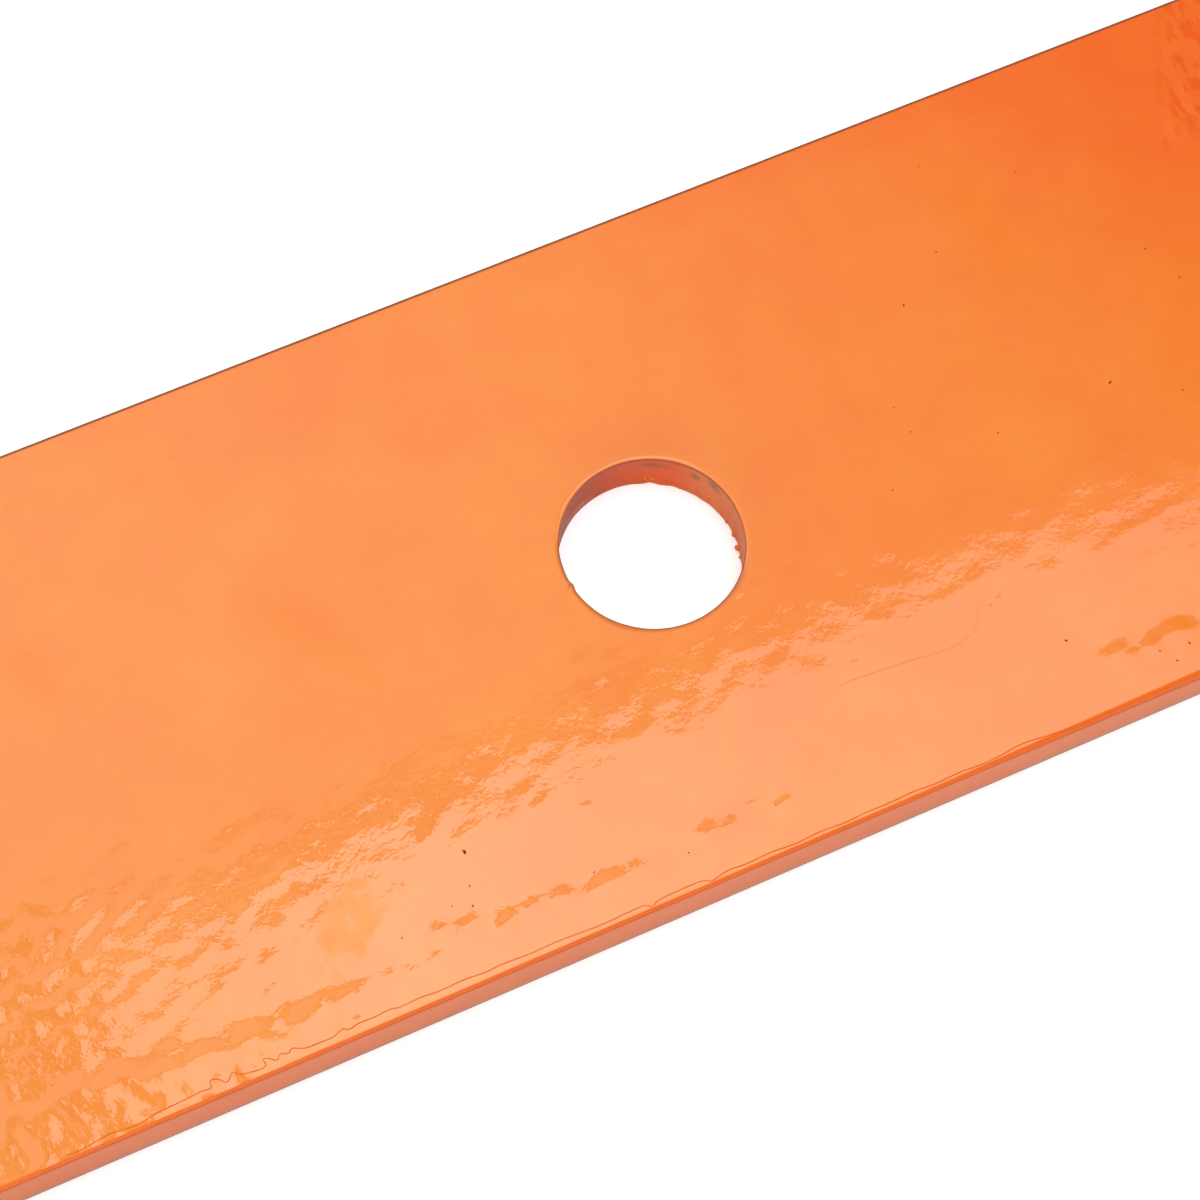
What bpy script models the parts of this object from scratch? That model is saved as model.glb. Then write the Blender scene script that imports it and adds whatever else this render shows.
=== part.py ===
"""A rotary mower blade: a flat painted steel bar that turns about a hole at its middle.

X runs along the blade, Y across it and +Z up. The origin is on the axis of the hole, at the
underside. The blade turns clockwise seen from above, so the half at +X cuts along its -Y edge.
Lengths are in metres.
"""

import math

import bmesh
import bpy
from mathutils import Matrix, Vector

# Bar. Its section and the hole are sizes over the paint.
BLADE_LENGTH = 0.520
BLADE_WIDTH = 0.0752
BLADE_THICKNESS = 0.0062
TIP_CORNER_RADIUS = 0.0030
PAINTED_EDGE_RADIUS = 0.0004

# Centre hole, where the spindle clamps the blade
HOLE_DIAMETER = 0.0200

# Ground cutting edge at each end of the leading side
CUTTING_EDGE_LENGTH = 0.105
CUTTING_ANGLE = math.radians(30)
CUTTING_EDGE_LAND = 0.0008
GRINDING_WHEEL_RADIUS = 0.060

# How finely round stretches are divided
HOLE_SEGMENTS = 96
TIP_CORNER_SEGMENTS = 8
EDGE_SEGMENTS = 3
RUN_OUT_SEGMENTS = 16

# How far a cutter stands past the steel that it takes away
CUTTER_OVERRUN = 0.004

PAINT_COLOUR = (0.80, 0.16, 0.02, 1.0)
PAINT_ROUGHNESS = 0.15
PAINT_METALLIC = 0.0

SMOOTH_UNDER_ANGLE = math.radians(28)


def clear_scene():
    for obj in list(bpy.data.objects):
        bpy.data.objects.remove(obj, do_unlink=True)


def orange_paint():
    material = bpy.data.materials.new("orange_paint")
    material.use_nodes = True
    shader = material.node_tree.nodes["Principled BSDF"]
    shader.inputs["Base Color"].default_value = PAINT_COLOUR
    shader.inputs["Roughness"].default_value = PAINT_ROUGHNESS
    shader.inputs["Metallic"].default_value = PAINT_METALLIC
    return material


def add_object(name, bm):
    bmesh.ops.recalc_face_normals(bm, faces=bm.faces)
    mesh = bpy.data.meshes.new(name)
    bm.to_mesh(mesh)
    bm.free()
    obj = bpy.data.objects.new(name, mesh)
    bpy.context.scene.collection.objects.link(obj)
    return obj


def add_cutter(name, bm):
    cutter = add_object(name, bm)
    cutter.hide_render = True
    cutter.display_type = "WIRE"
    return cutter


def subtract(obj, cutter):
    cut = obj.modifiers.new(cutter.name, "BOOLEAN")
    cut.operation = "DIFFERENCE"
    cut.solver = "EXACT"
    cut.object = cutter


def bevel_edges(bm, edges, radius, segments):
    bmesh.ops.bevel(
        bm,
        geom=edges,
        offset=radius,
        segments=segments,
        profile=0.5,
        affect="EDGES",
        clamp_overlap=False,
    )


def add_bar():
    """The bar, cut square at its ends, with its upright corners and its long edges rounded."""
    bm = bmesh.new()
    size = Matrix.Diagonal((BLADE_LENGTH, BLADE_WIDTH, BLADE_THICKNESS, 1.0))
    lift = Matrix.Translation((0.0, 0.0, BLADE_THICKNESS / 2))
    bmesh.ops.create_cube(bm, size=1.0, matrix=lift @ size)
    upright = [e for e in bm.edges if is_upright(e)]
    bevel_edges(bm, upright, TIP_CORNER_RADIUS, TIP_CORNER_SEGMENTS)
    outline = [e for e in bm.edges if not is_upright(e)]
    bevel_edges(bm, outline, PAINTED_EDGE_RADIUS, EDGE_SEGMENTS)
    return add_object("mower_blade", bm)


def is_upright(edge):
    low, high = sorted(v.co.z for v in edge.verts)
    return high - low > BLADE_THICKNESS / 2


def hole_profile():
    """Half the section of the plug that cuts the hole, as (radius, height) from bottom to top.

    It is the hole's wall with a rounded rim at each face. Past the face the plug goes on along
    the rim's last facet.
    """
    hole_radius = HOLE_DIAMETER / 2
    rim = []
    for step in range(EDGE_SEGMENTS + 1):
        turned = math.pi / 2 * step / EDGE_SEGMENTS
        out = PAINTED_EDGE_RADIUS * (1.0 - math.cos(turned))
        up = PAINTED_EDGE_RADIUS * (math.sin(turned) - 1.0)
        rim.append(Vector((hole_radius + out, BLADE_THICKNESS + up)))
    last_facet = (rim[-1] - rim[-2]).normalized()
    rim.append(rim[-1] + last_facet * CUTTER_OVERRUN)
    under = [Vector((r, BLADE_THICKNESS - z)) for r, z in reversed(rim)]
    return under + rim


def add_hole_cutter():
    """The plug, turned about the blade's axis and closed at its ends."""
    bm = bmesh.new()
    side = [bm.verts.new((r, 0.0, z)) for r, z in hole_profile()]
    edges = [bm.edges.new(pair) for pair in zip(side, side[1:])]
    bmesh.ops.spin(
        bm,
        geom=side + edges,
        cent=(0.0, 0.0, 0.0),
        axis=(0.0, 0.0, 1.0),
        angle=math.tau,
        steps=HOLE_SEGMENTS,
        use_merge=True,
    )
    rims = [e for e in bm.edges if e.is_boundary]
    bmesh.ops.holes_fill(bm, edges=rims)
    return add_cutter("hole_cutter", bm)


def grinding_profile():
    """What the wheel takes, seen along the cutting edge's own face.

    The points are (u, w): u runs along the blade from the inner end of the flat grind towards
    the tip, and w stands square to the ground face. Inward of u = 0 the wheel lifts out of the
    steel along its own radius.
    """
    removed = (BLADE_THICKNESS - CUTTING_EDGE_LAND) * math.cos(CUTTING_ANGLE)
    top = removed + CUTTER_OVERRUN
    sweep = math.acos(1.0 - top / GRINDING_WHEEL_RADIUS)
    profile = [(CUTTING_EDGE_LENGTH + CUTTER_OVERRUN, top)]
    for step in range(RUN_OUT_SEGMENTS, -1, -1):
        turned = sweep * step / RUN_OUT_SEGMENTS
        along = -GRINDING_WHEEL_RADIUS * math.sin(turned)
        lifted = GRINDING_WHEEL_RADIUS * (1.0 - math.cos(turned))
        profile.append((along, lifted))
    profile.append((CUTTING_EDGE_LENGTH + CUTTER_OVERRUN, 0.0))
    return profile


def add_grinding_cutter(name, half_turn):
    """The wheel's sweep over the leading edge at +X, or at -X after a half turn about the hole."""
    ground_width = (BLADE_THICKNESS - CUTTING_EDGE_LAND) / math.sin(CUTTING_ANGLE)
    along = Vector((1.0, 0.0, 0.0))
    up_the_face = Vector((0.0, math.cos(CUTTING_ANGLE), math.sin(CUTTING_ANGLE)))
    off_the_face = Vector((0.0, -math.sin(CUTTING_ANGLE), math.cos(CUTTING_ANGLE)))
    inner_end = BLADE_LENGTH / 2 - CUTTING_EDGE_LENGTH
    start = Vector((inner_end, -BLADE_WIDTH / 2, CUTTING_EDGE_LAND)) - up_the_face * CUTTER_OVERRUN

    bm = bmesh.new()
    outline = [bm.verts.new(start + along * u + off_the_face * w) for u, w in grinding_profile()]
    end_face = bm.faces.new(outline)
    swept = bmesh.ops.extrude_face_region(bm, geom=[end_face])
    moved = [v for v in swept["geom"] if isinstance(v, bmesh.types.BMVert)]
    reach = up_the_face * (ground_width + 2 * CUTTER_OVERRUN)
    bmesh.ops.translate(bm, verts=moved, vec=reach)
    turn = Matrix.Rotation(math.pi if half_turn else 0.0, 4, "Z")
    bmesh.ops.transform(bm, matrix=turn, verts=bm.verts)
    return add_cutter(name, bm)


def shade(obj, material):
    obj.data.materials.append(material)
    obj.data.shade_smooth()
    obj.data.set_sharp_from_angle(angle=SMOOTH_UNDER_ANGLE)


def main():
    clear_scene()
    blade = add_bar()
    shade(blade, orange_paint())
    subtract(blade, add_hole_cutter())
    subtract(blade, add_grinding_cutter("grinding_cutter_right", half_turn=False))
    subtract(blade, add_grinding_cutter("grinding_cutter_left", half_turn=True))


main()
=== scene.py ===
"""The orange mower blade's looks: its coat of glossy paint, a pale floor and soft studio light.

Shapes are worked out in millimetres in the model's own frame, and are scaled to metres when
their meshes are made. The studio and the camera are in metres.
"""

import math

import bpy
import numpy as np
from mathutils import Matrix, Vector


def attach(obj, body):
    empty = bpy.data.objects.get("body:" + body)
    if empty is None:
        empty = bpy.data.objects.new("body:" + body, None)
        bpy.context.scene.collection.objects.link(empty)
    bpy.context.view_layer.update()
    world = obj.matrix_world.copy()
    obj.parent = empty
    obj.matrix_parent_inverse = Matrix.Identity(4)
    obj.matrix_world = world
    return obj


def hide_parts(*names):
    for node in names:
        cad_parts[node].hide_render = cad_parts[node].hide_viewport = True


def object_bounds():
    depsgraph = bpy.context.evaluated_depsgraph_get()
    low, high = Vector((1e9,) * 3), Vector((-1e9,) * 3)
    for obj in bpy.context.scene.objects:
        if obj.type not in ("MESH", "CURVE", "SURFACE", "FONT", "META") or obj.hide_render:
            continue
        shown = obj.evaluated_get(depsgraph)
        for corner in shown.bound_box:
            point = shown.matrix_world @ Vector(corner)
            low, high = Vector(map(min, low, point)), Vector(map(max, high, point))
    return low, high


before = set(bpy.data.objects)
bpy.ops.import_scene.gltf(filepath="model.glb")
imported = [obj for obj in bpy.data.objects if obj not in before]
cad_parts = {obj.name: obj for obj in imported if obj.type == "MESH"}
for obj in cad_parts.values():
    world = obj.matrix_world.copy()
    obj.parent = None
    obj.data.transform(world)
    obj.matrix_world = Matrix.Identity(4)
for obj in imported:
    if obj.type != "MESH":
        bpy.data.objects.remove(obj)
cad_low, cad_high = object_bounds()

MM = 0.001
ON_FLOOR = 1e-7
HALF_LENGTH = cad_high.x / MM
HALF_WIDTH = cad_high.y / MM
THICKNESS = (cad_high.z - cad_low.z) / MM

# Camera. Its angles and distance are to the middle of the hole at the top face.
CAMERA_ELEVATION = math.radians(65.44)
CAMERA_AZIMUTH = math.radians(-29.95)
CAMERA_ROLL = math.radians(5.35)
CAMERA_DISTANCE = 0.4221
LENS_IN_FRAME_WIDTHS = 3.3133
SENSOR_MM = 36.0
FRAME_PIXELS = 1200
HOLE_CENTRE_PIXEL = (652.3, 542.0)

# The blade's own corners, hole and grind, as in the frame
TIP_CORNER = 3.0
HOLE_RADIUS = 10.0
GROUND_LENGTH = 105.0
GROUND_ANGLE = math.radians(30)
GROUND_LAND = 0.8
WHEEL_RADIUS = 60.0

# Outline of the coat, which stays inside the frame's box
SIDE_ROOM = 0.03
FILM_ROOM = 0.17
FAR_LIFT = 0.07
FAR_LIFT_FROM = -20.0
HIGHEST_UNDER_TOP = 0.045
HIGHEST_SOFTNESS = 0.012
EDGE_ROUND = 0.45
FAR_FLATNESS = 0.45
NEAR_TO_FAR = (-5.0, 5.0)
BOTTOM_ROUND = 0.20
CREASE_SOFTNESS = 0.12

# How the bar's sides swell. Seeds are whole numbers that fix a set of random waves.
SIDE_SWELL = 0.015
SIDE_WAVES = (9.0, 40.0)
SIDE_WAVES_DOWN = 3.0
SIDE_SWELL_LIMIT = 1.5
SIDE_SEED = 53

# The hole: its rounded rims, its film of paint, a drip on the top rim and ragged paint low down
HOLE_ROUND = 0.20
HOLE_FILM = 0.07
DRIP_AT = -174.0
DRIP_RISE = 0.22
DRIP_REACH = 0.45
DRIP_Z = (3.5, 5.6)
RAGGED_RISE = 0.05
RAGGED_Z = (0.6, 2.6)
RAGGED_AROUND = 24.0
RAGGED_SPREAD = (0.55, 0.85)
RAGGED_WAVES = (0.9, 3.0)
RAGGED_SEED = 43
UNEVEN_RISE = 0.012
UNEVEN_WAVES = (4.0, 12.0)
UNEVEN_SEED = 47

# Grid of the top face
FINE_STEP = 0.55
FINE_REACH = 94.6
FINE_FADE = 5.0
END_STEP = 1.4
BLOCK_HALF = 16.5
BLOCK_CELLS = 60
SIDE_CELLS = 38
RING_LAYERS = 20
TIP_STEPS = 8
ROUND_STEPS = 4
SIDE_STEPS = 6
HOLE_STEPS = 12
CREASE_ROW = 8
CREASE_KNOTS = (0.25, 0.6)
CREASE_CLEAR = 0.9
CROWDED_BEFORE_GRIND = 25.0

# How far the paint hangs down beside the rounded near edge, along the blade
DROOP_WIDTH = 0.5
DROOP_X = (-110, -90, 15, 50, 92, 110)
DROOP = (0.0, 0.06, 0.06, 0.22, 0.22, 0.0)

# Ripples in the paint: wavelengths in millimetres, slopes, and which way they run
PEEL_WAVES = (1.7, 4.4)
PEEL_SLOPE = 0.0042
PEEL_HEADINGS = (math.radians(68), math.radians(112))
PEEL_SPREAD = 0.5
PEEL_SEEDS = (11, 12)
SWELL_WAVES = (6.0, 14.0)
SWELL_SLOPE = 0.0018
SWELL_SEED = 17
LEFT_WAVES = (1.6, 3.2)
LEFT_SLOPE = 0.018
LEFT_HEADING = math.radians(90)
LEFT_SPREAD = 0.65
LEFT_SEED = 13
TANGLE_WAVES = (1.8, 4.0)
TANGLE_SLOPE = 0.028
TANGLE_SEED = 19
STREAK_WAVES = (1.8, 3.6)
STREAK_SLOPE = 0.020
STREAK_SPREAD = 0.35
STREAK_SEED = 23
PATCH_WAVES = (1.8, 3.8)
PATCH_SLOPE = 0.032
PATCH_SEED = 29

# Where the paint is rippled. Pairs of X or Y are the range over which ripples come or go.
SOME_RIPPLES = 0.36
SOME_RIPPLES_X = (-52.0, -34.0)
SOME_RIPPLES_Y = (-24.0, -8.0)
MORE_RIPPLES = 0.70
MORE_RIPPLES_X = (-70.0, -53.0)
MORE_RIPPLES_Y = (-18.0, -4.0)
EDGE_RIPPLES = 0.35
EDGE_RIPPLES_X = (-30.0, 10.0)
EDGE_RIPPLES_REACH = (6.0, 9.0)
LEFT_END_X = (-130.0, -100.0)
CHAOS_FROM = (-73.4, -25.5)
CHAOS_ALONG = (9.9, 24.3)
CHAOS_BLEND = (-3.0, 4.0)
CHAOS_Y = (-16.0, -5.0)
STREAKS_FROM = (77.5, 30.0)
STREAKS_ALONG = (-8.8, -16.3)
STREAKS_BLEND = (-2.0, 3.0)
STREAKS_Y = (17.0, 24.0)
STREAKS_END_X = (100.0, 130.0)
CALM_SHARE = 0.65
CALM_REACH = 1.8

# Mottled patches by the near edge: x, y, half length, half width, heading in degrees, strength
PATCHES = (
    (40.0, -32.3, 2.6, 1.6, 0, 1.0),
    (46.5, -33.0, 4.0, 2.2, 0, 1.0),
)

# The thick rim of paint beside the long edges: where it is along the blade, and how thick
FAT_EDGE_X = (
    -105, -80, -70, -58, -49, -40, -30, -4, 5, 33, 36, 40, 42, 44, 50, 62, 105,
)
FAT_EDGE_RISE = (
    0.060, 0.105, 0.110, 0.100, 0.065, 0.046, 0.038, 0.032, 0.016, 0.012,
    0.030, 0.026, 0.014, 0.020, 0.020, 0.022, 0.026,
)
FAT_EDGE_MIDDLE = (
    6.5, 7.0, 6.2, 5.1, 4.8, 5.0, 5.0, 5.2, 5.2, 6.5, 7.2, 5.0, 5.5, 6.0, 4.8, 5.0, 5.0,
)
FAT_EDGE_REACH = 1.7
FAR_EDGE_RISE = 0.020
FAR_EDGE_MIDDLE = 5.5
FAT_EDGE_UNEVEN = 0.22
FAT_EDGE_WAVES = (2.0, 6.0)
FAT_EDGE_SEED = 31
FAT_EDGE_WANDER = 0.4
WANDER_WAVES = (3.0, 12.0)
WANDER_SEED = 37

# Single blisters: x, y, half length, half width, heading in degrees, height
BLISTERS = (
    (-53.0, -23.7, 1.5, 0.7, 25, 0.026),
    (-49.9, -21.4, 1.0, 0.6, 70, 0.020),
    (-48.6, -24.5, 1.1, 0.6, 50, 0.022),
    (-56.2, -21.1, 1.6, 0.7, 40, 0.026),
    (-55.7, -26.8, 1.1, 0.5, 5, 0.022),
    (-58.4, -26.0, 0.9, 0.6, 30, 0.024),
    (-54.0, -27.5, 1.0, 0.5, 20, 0.022),
    (-61.0, -27.5, 1.1, 0.7, 40, 0.026),
    (-56.8, -29.9, 1.4, 0.6, 35, 0.026),
    (-58.7, -24.0, 0.8, 0.5, 70, 0.020),
    (-62.6, -29.3, 2.0, 0.8, 45, 0.028),
    (-51.1, -29.1, 0.9, 0.6, 60, 0.022),
    (-59.7, -20.2, 1.2, 0.6, 15, 0.022),
    (-48.5, -27.1, 1.0, 0.5, 10, 0.020),
    (-51.9, -26.2, 1.2, 0.5, 40, 0.020),
    (-38.5, -30.7, 1.2, 0.85, 10, 0.045),
    (-35.4, -31.1, 1.6, 0.75, 10, 0.042),
    (-37.3, -32.2, 1.2, 0.65, 15, 0.039),
    (-31.7, -32.6, 1.8, 0.85, 30, 0.048),
    (-28.7, -32.1, 1.4, 0.75, 40, 0.042),
    (-25.9, -32.2, 1.5, 0.95, 15, 0.048),
    (-24.9, -32.9, 1.2, 0.75, 60, 0.039),
    (-21.3, -33.0, 2.0, 0.75, 10, 0.045),
    (-19.9, -32.9, 1.2, 0.65, -10, 0.039),
    (-17.1, -32.8, 1.0, 0.85, 70, 0.045),
    (-8.8, -32.1, 1.2, 0.85, 70, 0.048),
    (-6.2, -32.5, 1.4, 0.65, 30, 0.036),
    (-3.5, -31.5, 1.1, 0.65, 5, 0.039),
    (-0.2, -32.5, 1.5, 0.65, 10, 0.039),
    (-23.0, -22.2, 1.6, 0.6, 30, 0.022),
    (-18.9, -24.7, 1.0, 0.5, 0, 0.018),
    (-10.1, -19.4, 1.0, 0.5, 30, 0.010),
    (-35.6, -21.1, 1.3, 0.6, 40, 0.014),
    (-29.9, -21.7, 1.3, 0.4, 5, 0.012),
    (26.0, -18.5, 2.0, 0.8, 5, 0.012),
    (29.4, -18.2, 1.3, 0.8, 0, 0.010),
    (21.0, -17.3, 0.9, 0.6, 40, 0.009),
    (17.6, -17.7, 1.0, 0.4, -10, 0.008),
    (36.7, -19.8, 2.2, 0.8, -20, 0.014),
    (38.8, -21.8, 1.0, 0.6, 0, 0.013),
    (43.1, -20.8, 1.2, 0.6, 30, 0.013),
    (41.0, -18.6, 1.2, 0.8, 20, 0.010),
    (34.4, -17.6, 1.2, 0.4, -10, 0.008),
    (38.6, -31.6, 1.3, 0.85, 35, 0.042),
    (40.0, -31.4, 1.2, 0.85, 10, 0.045),
    (40.1, -32.9, 1.1, 0.85, 60, 0.045),
    (41.1, -32.4, 0.9, 0.75, 0, 0.042),
    (36.3, -31.3, 0.9, 0.75, 0, 0.039),
    (42.6, -32.8, 1.2, 0.85, 20, 0.045),
    (44.1, -32.2, 1.5, 0.95, 10, 0.048),
    (45.6, -32.1, 1.4, 0.95, 20, 0.048),
    (47.1, -32.0, 1.5, 0.95, -10, 0.048),
    (47.6, -33.3, 1.3, 0.95, 20, 0.048),
    (45.6, -33.5, 1.2, 0.85, 30, 0.045),
    (43.8, -34.1, 1.4, 0.75, 0, 0.042),
    (46.6, -34.6, 1.2, 0.85, 40, 0.045),
    (40.8, -33.8, 1.0, 0.65, 0, 0.039),
    (49.8, -19.4, 1.6, 0.6, 10, 0.010),
    (47.1, -19.5, 1.2, 0.5, 0, 0.008),
    (51.9, -24.5, 1.4, 0.6, 15, 0.012),
    (46.9, -25.0, 1.6, 0.4, 0, 0.012),
    (5.6, -9.1, 0.6, 0.25, 40, 0.035),
    (8.2, -7.4, 1.5, 0.35, 50, 0.020),
)

# The fold where the paint of the near edge laps onto the top face: x, and distance from the edge
LAP_FOLD = (
    (-86.0, 0.7), (-83.0, 0.9), (-80.2, 0.7), (-77.0, 1.0), (-74.0, 0.8), (-71.5, 1.1), (-69.2, 1.2),
    (-67.04, 1.32), (-65.89, 1.25), (-65.70, 1.96), (-64.98, 1.87), (-64.20, 1.17), (-63.52, 1.77),
    (-63.16, 1.84), (-62.52, 1.32), (-60.60, 1.02), (-59.94, 1.29), (-60.05, 1.80), (-59.52, 1.79),
    (-58.78, 1.22), (-58.26, 1.68), (-57.40, 1.40), (-56.93, 1.76), (-55.75, 1.22), (-54.04, 1.14),
    (-52.74, 1.13), (-51.59, 1.52), (-50.86, 1.19), (-50.01, 1.39), (-47.94, 1.37), (-46.36, 1.47),
    (-45.36, 1.25), (-43.1, 1.34), (-41.0, 1.18), (-38.4, 1.26), (-36.1, 1.10), (-33.9, 1.17),
    (-31.2, 1.04), (-27.71, 1.09), (-25.0, 0.94), (-22.54, 0.88), (-20.2, 0.97), (-18.23, 0.95),
    (-17.62, 0.56), (-16.56, 0.90), (-13.34, 1.00), (-11.56, 0.92), (-10.82, 0.58), (-8.85, 0.89),
    (-6.73, 0.77), (-3.9, 0.86), (-1.2, 0.70), (1.8, 0.82), (4.3, 0.68), (7.0, 0.79), (9.4, 0.74),
    (12.6, 0.83), (15.1, 0.69), (17.7, 0.78), (20.3, 0.66), (22.56, 0.72), (25.38, 0.93),
    (28.43, 0.67), (30.04, 0.57), (33.0, 0.50), (36.0, 0.46),
)
FOLD_RADIUS = 0.12
FOLD_SINK = 0.095

# A hair of paint across the top face
THREAD = (
    (28.2, -20.2), (28.08, -20.98), (27.6, -22.2), (26.47, -23.17), (24.6, -23.75), (22.67, -23.87),
    (19.2, -23.5), (15.81, -23.18), (12.7, -23.0), (9.94, -22.93),
)
THREAD_RADIUS = 0.30
THREAD_SINK = 0.272

# How threads are divided and tapered
THREAD_SIDES = 8
THREAD_STEP = 0.2
THREAD_TAPER = 24.0
THREAD_THINNEST = 0.15

# Dust in the paint: x, y, radius
SPECKS = (
    (-32.57, -23.87, 0.24), (-33.58, -27.36, 0.10), (-36.14, -28.57, 0.09), (-34.20, -29.45, 0.13),
    (-42.21, -29.73, 0.12), (-21.45, -31.27, 0.10), (-11.64, -33.30, 0.11), (-1.20, -32.32, 0.10),
    (37.55, 14.79, 0.15), (53.75, -2.92, 0.18), (60.64, -6.92, 0.12), (43.90, 19.24, 0.12),
    (47.00, 29.70, 0.09), (56.53, 24.80, 0.10), (65.19, 10.25, 0.11), (67.00, 5.45, 0.12),
    (31.19, 0.58, 0.10), (39.75, -3.36, 0.11), (30.82, 3.92, 0.09), (26.21, -4.95, 0.12),
    (35.08, -28.16, 0.16), (46.84, -33.80, 0.14), (43.55, -33.21, 0.11), (44.74, -35.00, 0.14),
)

# Each speck is a hook of three grains: their sizes, the gap between them, and how it turns
GRAIN_SIZES = (0.75, 0.55, 0.4)
GRAIN_GAP = 1.1
GRAIN_TURN = 0.9
GRAIN_FLATNESS = 0.4
GRAIN_SINK = 0.1
SPECK_SEED = 71
FIRST_GRAIN_SEED = 200

# Beads of paint low on the hole's wall: angle in degrees, height, radius
BEADS = (
    (68.0, 1.5, 0.22), (65.2, 1.9, 0.16), (63.0, 1.4, 0.26), (59.8, 1.2, 0.16), (52.5, 1.2, 0.20),
    (50.2, 0.9, 0.13), (39.2, 0.9, 0.20), (33.5, 1.3, 0.17), (24.0, 1.1, 0.22), (14.0, 0.9, 0.26),
    (6.5, 0.7, 0.24), (-3.8, 0.9, 0.34), (-12.6, 0.6, 0.44), (-19.3, 0.7, 0.24),
)

BEAD_FLATNESS = 0.9
BEAD_SINK = 0.10
FIRST_BEAD_SEED = 100

# How a bead or a grain is divided, and how uneven it is
LUMP_RINGS = 7
LUMP_SIDES = 12
LUMP_UNEVEN = (0.16, 0.10)

# Soft patches of yellower orange: x, y, half length, half width, heading in degrees, strength
YELLOW_PATCHES = (
    (-36.5, 4.0, 9.0, 3.4, -63, 0.65),
    (-39.0, 8.0, 4.0, 4.0, 0, 0.35),
    (-65.5, 12.5, 4.5, 2.6, -63, 0.65),
    (49.5, 23.0, 8.5, 3.2, -80, 0.50),
    (51.0, 14.5, 3.5, 3.0, 0, 0.40),
    (-45.5, 27.0, 5.0, 2.0, -45, 0.40),
    (2.8, 21.6, 1.8, 0.6, -65, 0.60),
    (70.0, -2.0, 6.0, 10.0, 0, 0.45),
)

# Grey smudges on the hole's wall, and lilac patches of painted sheen there: angle in degrees,
# height, half length, half height
WALL_SMUDGES = ((63.9, 4.6, 1.5, 0.45), (36.2, 4.4, 0.6, 0.50), (22.8, 4.9, 0.8, 0.55))
LILAC_SHEEN_PATCHES = (
    (1.6, 5.0, 0.9, 0.5), (-9.6, 3.9, 1.0, 0.6), (-17.1, 2.9, 0.9, 0.6),
    (113.8, 1.3, 1.4, 0.6), (124.0, 1.0, 1.6, 0.6), (150.0, 3.0, 3.0, 1.4),
)

# How deep the orange is: a plain share and clouds of random tone, and painted shade: a falloff of
# light along and across the bar and towards the far right corner
DEPTH_PLAIN = 0.11
FALLOFF_ALONG = 0.25
FALLOFF_LENGTH = 55.0
FALLOFF_ENDS = (95.0, 170.0)
FALLOFF_ACROSS = 0.135
DEPTH_CLOUD = 0.05
CLOUD_WAVES = (14.0, 60.0)
CLOUD_SEED = 61
SHADED_CORNER = 0.57
SHADED_CORNER_POINT = (60.0, 20.0)
SHADED_CORNER_SLANT = 0.9
SHADED_CORNER_SOFTNESS = 10.0
SHADED_CORNER_END = (92.0, 125.0)

# The dull smear near the near edge, and the brownish stain round the hole
SMEAR_CENTRE = (-46.5, -26.5)
SMEAR_REACH = (6.5, 3.4)
SMEAR_HEADING = 42.0
SMEAR_SHARE = 0.6
SMEAR_RANGE = (0.15, 0.95)
SMEAR_RAGGED = 0.25
SMEAR_WAVES = (1.5, 5.0)
SMEAR_SEED = 67
STAIN_SHARE = 0.05
STAIN_CENTRE = (4.0, 4.0)
STAIN_REACH = (6.0, 15.0)

# Where one colour meets another. BELOW is a depth under the top face, and ROUND a share of the
# way down the rounded edge.
NEAR_HOLE = 1.0
NEAR_RIM = 0.1
WALL_BELOW = (0.10, 0.25)
# Where the wall's painted shade on the left gives way to its plain colour, and that to painted light
# on the right
WALL_MIDDLE_X = (-8.0, 7.0)
WALL_RIGHT_X = (6.0, 9.0)
LILAC_SHEEN_SHARE = 0.6
SMUDGE_SHARE = 0.8
SIDE_ROUND = (0.5, 1.0)
CORNER_DROOP = (0.02, 0.12)
CORNER_ROUND = (0.0, 0.08)
CORNER_ROUND_END = (0.75, 1.0)
CORNER_REACH = 2.0
# Painted shade in a brown line along the long rounded edges: where it lies down the round, and how
# strong it is
EDGE_SHADE_ROUND = (0.45, 0.65)
EDGE_SHADE_ROUND_END = (0.80, 1.0)
EDGE_SHADE_SHARE = 0.35
EDGE_SHADE_SHARE_MORE = 0.15
EDGE_SHADE_MORE_X = (10.0, 50.0)
FAR_EDGE_SHADE_SHARE = 0.85
FAR_EDGE_SHADE_REACH = (0.28, 0.45)
FAR_EDGE_SHADE_ROUND_END = (0.7, 1.0)
# Painted shade in a brown band round the hole's rim
RIM_SHADE_SHARE = 0.8
RIM_SHADE_DEPTH = 0.05
RIM_SHADE_START = -0.03
RIM_SHADE_START_BACK = 0.10
RIM_SHADE_END = (0.20, 0.30)
BACK_OF_HOLE = (0.5, 0.87)
BACK_RANGE = (-0.3, 0.4)
# A painted contact shadow along the foot of the near side
FOOT_SHADOW_SHARE = 0.9
FOOT_SHADOW_Z = (0.15, 1.3)
FOOT_SHADOW_REACH = 1.0

# Between the first two colours the top face also carries a painted falloff of light: paler where
# lit, deeper where shaded
PAINT_PALE_AND_LIT = (0.915, 0.257, 0.028)
PAINT_DEEP_AND_SHADED = (0.89, 0.156, 0.016)
PAINT_YELLOW = (0.91, 0.225, 0.006)
PAINT_SMEAR = (0.90, 0.300, 0.010)
PAINT_SIDE = (0.90, 0.186, 0.016)
PAINT_CORNER = (0.90, 0.150, 0.008)
# The hole's wall: darker on the left as painted shade, brighter on the right as painted light
WALL_LEFT_SHADED = (0.46, 0.062, 0.008)
WALL_MIDDLE = (0.92, 0.135, 0.006)
WALL_RIGHT_LIT = (0.96, 0.250, 0.050)
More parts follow.
